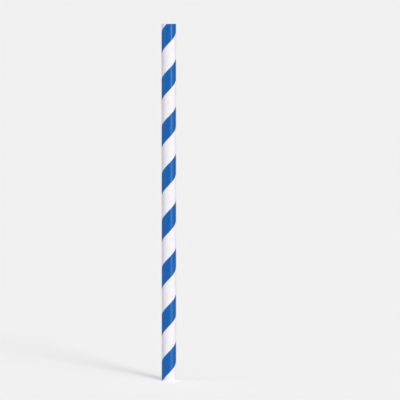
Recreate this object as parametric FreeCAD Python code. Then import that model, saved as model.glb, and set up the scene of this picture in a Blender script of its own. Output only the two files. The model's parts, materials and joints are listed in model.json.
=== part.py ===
import FreeCAD, Part
import math
import os

# Paper drinking straw: one tube of three paper strips, wound right-handed and glued, cut square at both ends.
# All sizes are in millimetres. The straw stands on its lower end, on the origin, with its front facing -Y.

# Tube
straw_length = 197.0
outer_diameter = 8.0

# Paper: one printed facing strip outside, and the strips that stiffen it inside
facing_ply = 0.10
body_ply = 0.15
body_ply_count = 2

# Winding: the rise of one turn along the tube, and the gap left where the edges of one strip meet
winding_lead = 26.0
seam_gap = 0.15

# Printed band: its width across the facing strip, and where its lower edge crosses the front line
band_width = 8.3
band_foot = 4.3

# Derived sizes
outer_radius = outer_diameter / 2
bore_radius = outer_radius - facing_ply - body_ply_count * body_ply
seam_stagger = winding_lead / (1 + body_ply_count)
turn_count = math.ceil(straw_length / winding_lead) + 1

# Angles about the tube: the front line, and how far round from it each turn of the winding is started
front_angle = -90.0
turn_start = 30.0

origin = FreeCAD.Vector(0, 0, 0)
up = FreeCAD.Vector(0, 0, 1)


def rise(width, radius):
    """How far a width, measured square to the winding, reaches along the tube at this radius."""
    circumference = 2 * math.pi * radius
    return width * math.hypot(winding_lead, circumference) / circumference


def ring(inner_radius, ring_radius):
    """A plain tube wall as long as the straw, whose own closing line is where the turns start."""
    wall = Part.makeCylinder(ring_radius, straw_length)
    wall = wall.cut(Part.makeCylinder(inner_radius, straw_length))
    wall.rotate(origin, up, front_angle + turn_start)
    return wall


def one_turn(radius):
    """One right-hand turn of the winding, which starts at the foot of +X."""
    return Part.makeHelix(winding_lead, winding_lead, radius)


def wound(first_turn, front_height):
    """Copies of one turn, end on end past both ends of the straw. They cross the front line at front_height."""
    start_height = front_height + winding_lead * turn_start / 360
    lowest = start_height % winding_lead - winding_lead
    turns = []
    for index in range(turn_count):
        turn = first_turn.copy()
        turn.rotate(origin, up, front_angle + turn_start)
        turn.translate((lowest + index * winding_lead) * up)
        turns.append(turn)
    return turns


def seam(floor_radius, open_radius, front_height):
    """The spiral gap in one ply, from its floor past its open side. Its upper side is at front_height."""
    ply_radius = (floor_radius + open_radius) / 2
    past_radius = 2 * open_radius - floor_radius
    foot = -rise(seam_gap, ply_radius)
    corners = [(floor_radius, foot), (past_radius, foot), (past_radius, 0), (floor_radius, 0)]
    outline = [FreeCAD.Vector(radius, 0, height) for radius, height in corners]
    section = Part.makePolygon(outline + outline[:1])
    slot = one_turn(ply_radius).makePipeShell([section], True, True)
    return wound(slot, front_height)


def seams():
    """The facing strip's edges meet along the foot of the printed band, and the innermost strip's inside."""
    facing = seam(outer_radius - facing_ply, outer_radius, band_foot)
    innermost = seam(bore_radius + body_ply, bore_radius, band_foot + body_ply_count * seam_stagger)
    return facing + innermost


def band_top():
    """The upper edge of the printed band, as lines on the straw's outside."""
    reach = Part.makeCylinder(outer_diameter, straw_length)
    turns = wound(one_turn(outer_radius), band_foot + rise(band_width, outer_radius))
    return [edge for turn in turns for edge in turn.common(reach).Edges]


def straw_tube():
    """The glued wall with its two open seams, and its outside parted into printed and bare paper."""
    wall = ring(bore_radius, outer_radius)
    for gap in seams():
        wall = wall.cut(gap)
    parted = wall.Solids[0].generalFuse(band_top())[0]
    return parted.Solids[0]


os.makedirs("parts", exist_ok=True)
straw_tube().exportStep("parts/straw_tube.step")
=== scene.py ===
import json
import math
from collections import namedtuple

import bmesh
import bpy
from mathutils import Matrix, Vector, noise


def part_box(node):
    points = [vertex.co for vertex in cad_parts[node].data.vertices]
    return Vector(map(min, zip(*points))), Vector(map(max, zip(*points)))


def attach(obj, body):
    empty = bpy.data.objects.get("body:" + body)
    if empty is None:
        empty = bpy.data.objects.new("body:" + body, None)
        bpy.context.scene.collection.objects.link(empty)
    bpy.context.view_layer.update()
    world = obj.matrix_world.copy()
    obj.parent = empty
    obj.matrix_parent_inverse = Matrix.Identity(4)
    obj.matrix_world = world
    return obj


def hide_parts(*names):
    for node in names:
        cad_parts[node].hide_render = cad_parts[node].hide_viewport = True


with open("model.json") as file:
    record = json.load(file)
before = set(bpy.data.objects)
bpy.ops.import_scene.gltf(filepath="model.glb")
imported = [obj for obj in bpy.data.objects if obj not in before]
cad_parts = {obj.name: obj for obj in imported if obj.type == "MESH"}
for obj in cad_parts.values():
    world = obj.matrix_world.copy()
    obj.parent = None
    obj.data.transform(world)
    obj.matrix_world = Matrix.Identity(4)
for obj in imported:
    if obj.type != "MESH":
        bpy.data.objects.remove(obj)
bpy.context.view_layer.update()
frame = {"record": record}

# Paper drinking straw, standing on its lower end with its front facing -Y. Lengths are in metres.
MM = 0.001

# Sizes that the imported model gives
straw_low, straw_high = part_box("straw_tube")
straw_foot = straw_low.z
straw_top = straw_high.z
straw_length = straw_top - straw_foot
mounts = {mount["name"]: mount for mount in frame["record"]["mounts"]}
outer_radius = mounts["outside"]["dims"]["r_mm"] * MM
bore_radius = mounts["bore"]["dims"]["r_mm"] * MM

# Winding
winding_lead = 26.0 * MM
facing_ply = 0.10 * MM
body_ply = 0.15 * MM
seam_gap = 0.15 * MM
seam_stagger = winding_lead / 3
band_width = 8.3 * MM
band_foot = straw_foot + 4.3 * MM

# How far the paper departs from a sharp and true form
lip_round = 0.03 * MM
rim_round = 0.04 * MM
edge_wander = 0.04 * MM
edge_reach = 1.5 * MM
buried_seam_dip = 0.020 * MM
buried_seam_reach = 0.6 * MM
unevenness = 0.012 * MM
unevenness_size = 9.0 * MM
edge_wander_length = 3.0 * MM

# Where the two edges of a strip read the random field, so that they wander apart
foot_edge_row = 7.0
top_edge_row = 31.0

# Fineness of the mesh
lip_steps = 3
support_width = 0.08 * MM
same_place = 0.002 * MM
spare_turns = 2
sharp_angle = math.radians(50)
merge_reach = 0.001 * MM
sorting_step = 0.0001 * MM

# Sheet that the surface is laid flat on for baking
sheet_side = 86.5 * MM
sheet_gap = 1.0 * MM
facing_rows = 4
lining_scale = 0.3
rim_scale = 1.5

# The photograph's frame, and where the straw's front line is in it, in pixels
frame_side = 400
straw_column = 168.8
straw_top_row = 24.5
straw_foot_row = 381.6
focal_pixels = 3675.0
look_down = math.radians(3.9)

# Colours. Each pair is what a finish wanders between.
facing_white = ((0.860, 0.830, 0.866), (0.900, 0.870, 0.902))
body_white = ((0.820, 0.806, 0.796), (0.870, 0.858, 0.850))
cut_white = ((0.76, 0.74, 0.72), (0.88, 0.87, 0.86))
band_blue = ((0.0005, 0.094, 0.385), (0.0015, 0.126, 0.465))
thin_ink = (0.36, 0.48, 0.64)
facing_sheen_tint = (0.55, 0.84, 1.0, 1.0)
dried_glue = (0.50, 0.47, 0.42)

# Half the thickness of a glue line that shows at a cut end, in millimetres
glue_reach = 0.018

# Studio: half the floor's side, how far the camera's view of the floor is lifted, and how bright the
# surroundings are on the straw and in the camera's view
floor_reach = 60.0
floor_colour = (0.88, 0.875, 0.875, 1.0)
floor_lift = 0.29
room_level = 0.18
backdrop_level = 0.90

# Distant soft lights: degrees to the right of the front, degrees above the floor, strength, spread in degrees
Lamp = namedtuple("Lamp", "turn height strength spread colour")
lamps = {
    "key": Lamp(28, 38, 1.16, 14, (1.0, 0.995, 0.985)),
    "strip": Lamp(44, 4, 1.12, 10, (1.0, 1.0, 0.99)),
    "front": Lamp(-10, 40, 0.30, 60, (1.0, 0.99, 1.0)),
    "side": Lamp(-75, 12, 0.85, 40, (0.95, 0.955, 1.0)),
    "top": Lamp(0, 80, 0.45, 40, (1.0, 1.0, 1.0)),
}

# One side of the wall: its radius, which way its wall lies, its strip's foot on the front line, the thickness
# of that strip, the steps in one turn, the height of one row, and its own scale on the sheet
Skin = namedtuple("Skin", "radius wall_side foot ply steps row sheet_scale")
facing = Skin(outer_radius, -1, band_foot, facing_ply, 96, 0.65 * MM, 1.0)
lining = Skin(bore_radius, 1, band_foot + 2 * seam_stagger, body_ply, 64, 1.5 * MM, lining_scale)

PRINTED, BARE, CUT = range(3)


def slant(skin):
    """The angle that the strip climbs at."""
    return math.atan2(winding_lead, 2 * math.pi * skin.radius)


def strip_top(skin):
    """How high the strip's upper edge is above its foot, measured along the straw."""
    circumference = 2 * math.pi * (skin.radius + skin.wall_side * skin.ply / 2)
    return winding_lead - seam_gap * math.hypot(winding_lead, circumference) / circumference


def strip_section(skin):
    """The strip's section over one lead, as (height above its foot, depth into the wall)."""
    top = strip_top(skin)
    turns = [math.pi / 2 * step / lip_steps for step in range(lip_steps + 1)]
    lip = [(lip_round * (1 - math.cos(turn)), lip_round * (1 - math.sin(turn))) for turn in turns]
    low, high = lip_round + support_width, top - lip_round - support_width
    rows = round((high - low) / skin.row)
    face = [(low + (high - low) * row / rows, 0.0) for row in range(rows + 1)]
    upper_lip = [(top - height, depth) for height, depth in reversed(lip)]
    seam = [(top, skin.ply), (winding_lead, skin.ply), (winding_lead, lip_round)]
    return lip + face + upper_lip + seam


def wind(bm, skin):
    """Sweeps the strip's section round one turn, and repeats that turn past both ends of the straw."""
    turn = bmesh.new()
    height_of = turn.verts.layers.float.new("height")
    depth_of = turn.verts.layers.float.new("depth")
    start = skin.foot - spare_turns * winding_lead
    section = []
    for height, depth in strip_section(skin):
        corner = turn.verts.new((0, -(skin.radius + skin.wall_side * depth), start + height))
        corner[height_of] = height
        corner[depth_of] = depth
        section.append(corner)
    edges = [turn.edges.new(pair) for pair in zip(section, section[1:])]
    bmesh.ops.spin(
        turn, geom=section + edges, cent=(0, 0, 0), axis=(0, 0, 1), angle=2 * math.pi,
        dvec=(0, 0, winding_lead / skin.steps), steps=skin.steps, use_merge=False,
    )
    mesh = bpy.data.meshes.new("turn")
    turn.to_mesh(mesh)
    turn.free()
    for _ in range(math.ceil(straw_length / winding_lead) + spare_turns + 1):
        bm.from_mesh(mesh)
        mesh.transform(Matrix.Translation((0, 0, winding_lead)))
    bpy.data.meshes.remove(mesh)


def cut_at(bm, height, clear_above=False, clear_below=False):
    """Cuts the mesh through at this height."""
    bmesh.ops.bisect_plane(
        bm, geom=bm.verts[:] + bm.edges[:] + bm.faces[:], dist=same_place / 4,
        plane_co=(0, 0, height), plane_no=(0, 0, 1), clear_outer=clear_above, clear_inner=clear_below,
    )


def cut_to_length(bm):
    """Cuts both ends square, with the rings that round the rims."""
    cut_at(bm, straw_top, clear_above=True)
    cut_at(bm, straw_foot, clear_below=True)
    rings = [rim_round * (1 - math.sin(math.pi / 2 * step / lip_steps)) for step in range(lip_steps)]
    for inset in rings + [rim_round + support_width]:
        cut_at(bm, straw_top - inset)
        cut_at(bm, straw_foot + inset)


def along_strip(skin, point, height):
    """How far along the unrolled strip a point is, measured from the front line."""
    turn = (point.z - skin.foot - height) / winding_lead
    return turn * winding_lead / math.sin(slant(skin)) + height * math.sin(slant(skin))


def unfolded(skin, height, depth):
    """How far round the strip's section a corner is, with its cut edges folded flat."""
    if height > winding_lead - same_place:
        return height + 2 * skin.ply - depth
    return height + depth if height > winding_lead / 2 else height - depth


def put_in_order(bm):
    """Sorts the mesh by place, since the cuts hand it back in an order that varies."""
    middles = (
        (bm.verts, lambda vert: vert.co),
        (bm.edges, lambda edge: (edge.verts[0].co + edge.verts[1].co) / 2),
        (bm.faces, lambda face: face.calc_center_median()),
    )
    for items, middle in middles:
        order = sorted(items, key=lambda item: tuple(round(value / sorting_step) for value in middle(item)))
        rank = {item: index for index, item in enumerate(order)}
        items.sort(key=rank.get)
        items.index_update()


def place_on_maps(bm, face, strip_point, sheet_point):
    """Writes one face's two maps: where it is on the strip, and where it is on the sheet."""
    strip = bm.loops.layers.uv["strip"]
    sheet = bm.loops.layers.uv["OFBake"]
    for loop in face.loops:
        loop[strip].uv = strip_point(loop.vert)
        loop[sheet].uv = Vector(sheet_point(loop.vert)) / sheet_side


def unroll(bm, skin, faces, base):
    """Lays the skin's strip on the sheet, in rows from this base up. Returns the next free base."""
    height_of = bm.verts.layers.float["height"]
    depth_of = bm.verts.layers.float["depth"]
    across = math.cos(slant(skin))
    rows = facing_rows if skin is facing else 1

    def strip_point(vert):
        return along_strip(skin, vert.co, vert[height_of]), vert[height_of] * across

    starts = {face: min(strip_point(vert)[0] for vert in face.verts) for face in faces}
    first = min(starts.values())
    row_length = (max(starts.values()) - first) / rows + same_place
    row_pitch = (winding_lead + 2 * skin.ply) * across * skin.sheet_scale + sheet_gap
    for face, start in starts.items():
        row = int((start - first) / row_length)

        def sheet_point(vert):
            x = strip_point(vert)[0] - first - row * row_length
            y = (unfolded(skin, vert[height_of], vert[depth_of]) + lip_round) * across
            return sheet_gap + x * skin.sheet_scale, base + row * row_pitch + y * skin.sheet_scale

        place_on_maps(bm, face, strip_point, sheet_point)
        depth = min(vert[depth_of] for vert in face.verts)
        if depth < lip_round:
            face.material_index = PRINTED if skin is facing else BARE
        else:
            face.material_index = BARE if depth > skin.ply - same_place else CUT
    return base + rows * row_pitch


def near_seam(skin, height):
    """Which edge of the strip is nearest, and its hold on a point at this height."""
    to_foot = min(height, winding_lead - height)
    to_top = abs(strip_top(skin) - height)
    hold = max(0.0, 1 - min(to_foot, to_top) / edge_reach)
    return to_foot <= to_top, hold * hold


def dip(height, buried, depth):
    """How far the skin sinks over a seam in the ply beneath it."""
    reach = (height - buried) / buried_seam_reach
    return depth * math.exp(-reach * reach)


def settle(bm, skin, verts):
    """Lets the skin's paper wander a little from the true round, always into its own wall."""
    height_of = bm.verts.layers.float["height"]
    for vert in verts:
        height = vert[height_of]
        at_foot, hold = near_seam(skin, height)
        place = Vector((vert.co.x, vert.co.y, vert.co.z / 2)) / unevenness_size
        swell = unevenness * (0.5 + 0.5 * noise.noise(place))
        swell += dip(height, seam_stagger, buried_seam_dip)
        swell += dip(height, 2 * seam_stagger, buried_seam_dip / 2)
        edge_row = foot_edge_row if at_foot else top_edge_row
        drift = Vector((vert.co.z / edge_wander_length, edge_row, skin.radius / MM))
        shift = edge_wander * hold * noise.noise(drift)
        end = rim_round - min(vert.co.z - straw_foot, straw_top - vert.co.z)
        if end > 0:
            swell += rim_round - math.sqrt(max(0.0, rim_round * rim_round - end * end))
        radius = Vector((vert.co.x, vert.co.y)).length
        turned = Matrix.Rotation(2 * math.pi * shift / winding_lead, 3, "Z") @ vert.co
        scale = (radius + skin.wall_side * swell) / radius
        vert.co = (turned.x * scale, turned.y * scale, min(max(vert.co.z, straw_foot), straw_top))


def close_rim(bm, height, base, side):
    """Fills the cut end between the skins, and lays it on the sheet as a straight band."""
    edge_loop = [
        edge for edge in bm.edges
        if edge.is_boundary and all(abs(vert.co.z - height) < same_place for vert in edge.verts)
    ]
    outward = (0, 0, 1 if height > straw_length / 2 else -1)
    filled = bmesh.ops.triangle_fill(bm, use_beauty=True, edges=edge_loop, normal=outward)
    middle = (outer_radius + bore_radius) / 2
    for face in (item for item in filled["geom"] if isinstance(item, bmesh.types.BMFace)):
        centre = face.calc_center_median()
        face_turn = math.atan2(centre.y, centre.x)
        back = Matrix.Rotation(-face_turn, 3, "Z")

        def strip_point(vert):
            straight = back @ vert.co
            turn = face_turn + math.atan2(straight.y, straight.x)
            return turn * middle, Vector((straight.x, straight.y)).length

        def sheet_point(vert):
            x, radius = strip_point(vert)
            x += side * (2 * math.pi * middle + sheet_gap) + math.pi * middle
            return sheet_gap + x * rim_scale, base + (radius - bore_radius) * rim_scale

        place_on_maps(bm, face, strip_point, sheet_point)
        face.material_index = CUT


def wound_straw():
    """The straw's whole surface, closed: both skins with their open seams, and the two cut ends."""
    bm = bmesh.new()
    bm.verts.layers.float.new("height")
    bm.verts.layers.float.new("depth")
    bm.loops.layers.uv.new("strip")
    bm.loops.layers.uv.new("OFBake")
    wind(bm, facing)
    wind(bm, lining)
    cut_to_length(bm)
    middle = (outer_radius + bore_radius) / 2
    base = sheet_gap
    for skin in (facing, lining):
        is_facing = skin is facing
        faces = [face for face in bm.faces if (face.calc_center_median().xy.length > middle) == is_facing]
        base = unroll(bm, skin, faces, base)
    put_in_order(bm)
    bmesh.ops.remove_doubles(bm, verts=bm.verts[:], dist=merge_reach)
    put_in_order(bm)
    for skin in (facing, lining):
        is_facing = skin is facing
        settle(bm, skin, [vert for vert in bm.verts if (vert.co.xy.length > middle) == is_facing])
    close_rim(bm, straw_foot, base, 0)
    close_rim(bm, straw_top, base, 1)
    bmesh.ops.recalc_face_normals(bm, faces=bm.faces[:])
    for face in bm.faces:
        face.smooth = True
    mesh = bpy.data.meshes.new("wound_straw")
    bm.to_mesh(mesh)
    bm.free()
    mesh.set_sharp_from_angle(angle=sharp_angle)
    straw = bpy.data.objects.new("wound_straw", mesh)
    bpy.context.scene.collection.objects.link(straw)
    return straw


class Finish:
    """A material being built: its nodes, its shader, and the strip's map in millimetres."""

    def __init__(self, name):
        self.material = bpy.data.materials.new(name)
        self.material.use_nodes = True
        self.tree = self.material.node_tree
        self.shader = self.tree.nodes["Principled BSDF"]
        strip = self.add("ShaderNodeUVMap", uv_map="strip")
        scaled = self.add("ShaderNodeVectorMath", operation="SCALE")
        scaled.inputs["Scale"].default_value = 1 / MM
        self.join(strip.outputs["UV"], scaled.inputs[0])
        self.strip = scaled.outputs["Vector"]

    def add(self, kind, **settings):
        node = self.tree.nodes.new(kind)
        for name, value in settings.items():
            setattr(node, name, value)
        return node

    def join(self, output, socket):
        self.tree.links.new(output, socket)

    def stretched(self, along, across):
        """The strip's map, in cells of this many millimetres along and across it."""
        scaled = self.add("ShaderNodeVectorMath", operation="MULTIPLY")
        scaled.inputs[1].default_value = (1 / along, 1 / across, 1)
        self.join(self.strip, scaled.inputs[0])
        return scaled.outputs["Vector"]

    def grain(self, along, across, detail=2.0, roughness=0.5):
        """A soft random field from 0 to 1, with cells of this size."""
        texture = self.add("ShaderNodeTexNoise")
        texture.inputs["Scale"].default_value = 1.0
        texture.inputs["Detail"].default_value = detail
        texture.inputs["Roughness"].default_value = roughness
        self.join(self.stretched(along, across), texture.inputs["Vector"])
        return texture.outputs["Fac"]

    def ranged(self, value, low, high, to_low, to_high, smooth=False):
        """A value carried from one range to another, and held at its ends."""
        node = self.add("ShaderNodeMapRange", clamp=True)
        if smooth:
            node.interpolation_type = "SMOOTHSTEP"
        for socket, number in zip(("From Min", "From Max", "To Min", "To Max"), (low, high, to_low, to_high)):
            node.inputs[socket].default_value = number
        self.join(value, node.inputs["Value"])
        return node.outputs["Result"]

    def added(self, first, second):
        node = self.add("ShaderNodeMath", operation="ADD")
        self.join(first, node.inputs[0])
        self.join(second, node.inputs[1])
        return node.outputs["Value"]

    def mixed(self, share, first, second):
        """Two colours mixed by a share from 0 to 1. Each is a colour or an output."""
        node = self.add("ShaderNodeMix", data_type="RGBA")
        self.join(share, node.inputs["Factor"])
        for socket, colour in ((node.inputs[6], first), (node.inputs[7], second)):
            if isinstance(colour, tuple):
                socket.default_value = (*colour, 1.0)
            else:
                self.join(colour, socket)
        return node.outputs[2]

    def relief(self, height, distance, strength):
        """Fine relief of the paper's own fibres."""
        node = self.add("ShaderNodeBump")
        node.inputs["Distance"].default_value = distance
        node.inputs["Strength"].default_value = strength
        self.join(height, node.inputs["Height"])
        self.join(node.outputs["Normal"], self.shader.inputs["Normal"])


def paper_colour(finish, white):
    """White paper with its fibres' slight streaks along the strip and its cloudy formation."""
    streaks = finish.grain(1.6, 0.16, detail=3.0)
    clouds = finish.grain(2.6, 2.0, detail=2.0)
    share = finish.ranged(finish.added(streaks, clouds), 0.75, 1.25, 0.0, 1.0)
    return finish.mixed(share, *white)


def printed_facing():
    """White facing paper with its printed blue band, calendered to a soft satin."""
    finish = Finish("printed_facing")
    paper = paper_colour(finish, facing_white)
    density = finish.grain(1.1, 0.8, detail=4.0, roughness=0.6)
    ink = finish.mixed(finish.ranged(density, 0.35, 0.65, 0.0, 1.0), *band_blue)
    pinholes = finish.grain(0.16, 0.11, detail=1.0)
    ink = finish.mixed(finish.ranged(pinholes, 0.70, 0.80, 0.0, 0.22), ink, thin_ink)
    split = finish.add("ShaderNodeSeparateXYZ")
    finish.join(finish.strip, split.inputs[0])
    ragged = finish.ranged(finish.grain(0.45, 0.20, detail=3.0), 0.2, 0.8, -0.03, 0.03)
    edge = band_width / MM
    across = finish.added(split.outputs["Y"], ragged)
    bare = finish.ranged(across, edge - 0.03, edge + 0.03, 0.0, 1.0, smooth=True)
    finish.join(finish.mixed(bare, ink, paper), finish.shader.inputs["Base Color"])
    sheen = finish.ranged(finish.grain(0.9, 0.5, detail=3.0), 0.3, 0.7, 0.0, 0.05)
    base_sheen = finish.ranged(bare, 0.0, 1.0, 0.32, 0.54)
    finish.join(finish.added(base_sheen, sheen), finish.shader.inputs["Roughness"])
    finish.shader.inputs["Specular IOR Level"].default_value = 0.44
    finish.shader.inputs["Specular Tint"].default_value = facing_sheen_tint
    finish.relief(finish.grain(0.35, 0.09, detail=3.0), 0.008 * MM, 0.35)
    return finish.material


def bare_paper():
    """Unprinted body paper, as on the straw's inside."""
    finish = Finish("bare_paper")
    colour = paper_colour(finish, body_white)
    finish.join(colour, finish.shader.inputs["Base Color"])
    finish.shader.inputs["Roughness"].default_value = 0.62
    finish.relief(finish.grain(0.40, 0.12, detail=3.0), 0.012 * MM, 0.45)
    return finish.material


def cut_paper():
    """Cut edges: short fibres, and faint glue lines between the plies, placed by the map's second value."""
    finish = Finish("cut_paper")
    fibres = finish.grain(0.10, 0.05, detail=3.0)
    colour = finish.mixed(finish.ranged(fibres, 0.3, 0.7, 0.0, 1.0), *cut_white)
    split = finish.add("ShaderNodeSeparateXYZ")
    finish.join(finish.strip, split.inputs[0])
    for glue_radius in (outer_radius - facing_ply, bore_radius + body_ply):
        offset = finish.add("ShaderNodeMath", operation="SUBTRACT")
        offset.inputs[1].default_value = glue_radius / MM
        finish.join(split.outputs["Y"], offset.inputs[0])
        distance = finish.add("ShaderNodeMath", operation="ABSOLUTE")
        finish.join(offset.outputs["Value"], distance.inputs[0])
        line = finish.ranged(distance.outputs["Value"], 0.0, glue_reach, 0.6, 0.0)
        colour = finish.mixed(line, colour, dried_glue)
    finish.join(colour, finish.shader.inputs["Base Color"])
    finish.shader.inputs["Roughness"].default_value = 0.8
    finish.relief(finish.grain(0.12, 0.05, detail=3.0), 0.015 * MM, 0.6)
    return finish.material


def studio_floor():
    """A plain pale floor. What the camera sees of it is lifted a little, and it keeps its shadow."""
    bm = bmesh.new()
    bmesh.ops.create_grid(bm, x_segments=1, y_segments=1, size=floor_reach)
    mesh = bpy.data.meshes.new("floor")
    bm.to_mesh(mesh)
    bm.free()
    floor = bpy.data.objects.new("floor", mesh)
    floor.location.z = straw_foot
    bpy.context.scene.collection.objects.link(floor)
    material = bpy.data.materials.new("floor_paper")
    material.use_nodes = True
    tree = material.node_tree
    shader = tree.nodes["Principled BSDF"]
    shader.inputs["Base Color"].default_value = floor_colour
    shader.inputs["Roughness"].default_value = 0.9
    shader.inputs["Specular IOR Level"].default_value = 0.1
    shader.inputs["Emission Color"].default_value = (1.0, 0.995, 0.995, 1.0)
    path = tree.nodes.new("ShaderNodeLightPath")
    lift = tree.nodes.new("ShaderNodeMath")
    lift.operation = "MULTIPLY"
    lift.inputs[1].default_value = floor_lift
    tree.links.new(path.outputs["Is Camera Ray"], lift.inputs[0])
    tree.links.new(lift.outputs["Value"], shader.inputs["Emission Strength"])
    mesh.materials.append(material)


def soft_light(name, lamp):
    """Hangs one of the distant soft lights, facing the straw."""
    light = bpy.data.lights.new(name, "SUN")
    light.energy = lamp.strength
    light.angle = math.radians(lamp.spread)
    light.color = lamp.colour
    hung = bpy.data.objects.new(name, light)
    hung.rotation_euler = (math.radians(90 - lamp.height), 0, math.radians(lamp.turn))
    bpy.context.scene.collection.objects.link(hung)


def studio_light():
    """The soft lights, and surroundings that the camera sees brighter than they light the straw."""
    for name, lamp in lamps.items():
        soft_light(name, lamp)
    world = bpy.data.worlds.new("studio")
    bpy.context.scene.world = world
    world.use_nodes = True
    tree = world.node_tree
    background = tree.nodes["Background"]
    path = tree.nodes.new("ShaderNodeLightPath")
    level = tree.nodes.new("ShaderNodeMapRange")
    level.inputs["To Min"].default_value = room_level
    level.inputs["To Max"].default_value = backdrop_level
    tree.links.new(path.outputs["Is Camera Ray"], level.inputs["Value"])
    tree.links.new(level.outputs["Result"], background.inputs["Strength"])
    background.inputs["Color"].default_value = (0.985, 0.98, 0.99, 1.0)


def camera():
    """Looks at the straw's front line from the photograph's distance and height."""
    view = bpy.data.cameras.new("camera")
    view.sensor_fit = "HORIZONTAL"
    view.sensor_width = 36.0
    view.lens = view.sensor_width * focal_pixels / frame_side
    view.clip_start = 0.05
    view.clip_end = 200.0
    pixels_per_metre = (straw_foot_row - straw_top_row) / (straw_length * math.cos(look_down))
    distance = focal_pixels / pixels_per_metre
    middle_row = (straw_top_row + straw_foot_row) / 2
    aim = Vector((
        (frame_side / 2 - straw_column) / pixels_per_metre,
        -outer_radius,
        straw_foot + straw_length / 2 + (middle_row - frame_side / 2) / pixels_per_metre,
    ))
    eye = bpy.data.objects.new("camera", view)
    eye.location = aim + distance * Vector((0, -math.cos(look_down), math.sin(look_down)))
    eye.rotation_euler = (math.pi / 2 - look_down, 0, 0)
    bpy.context.scene.collection.objects.link(eye)
    bpy.context.scene.camera = eye


def build():
    straw = wound_straw()
    for material in (printed_facing(), bare_paper(), cut_paper()):
        straw.data.materials.append(material)
    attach(straw, "root")
    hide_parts("straw_tube")
    studio_floor()
    studio_light()
    camera()
    bpy.context.scene.view_settings.view_transform = "Standard"


build()
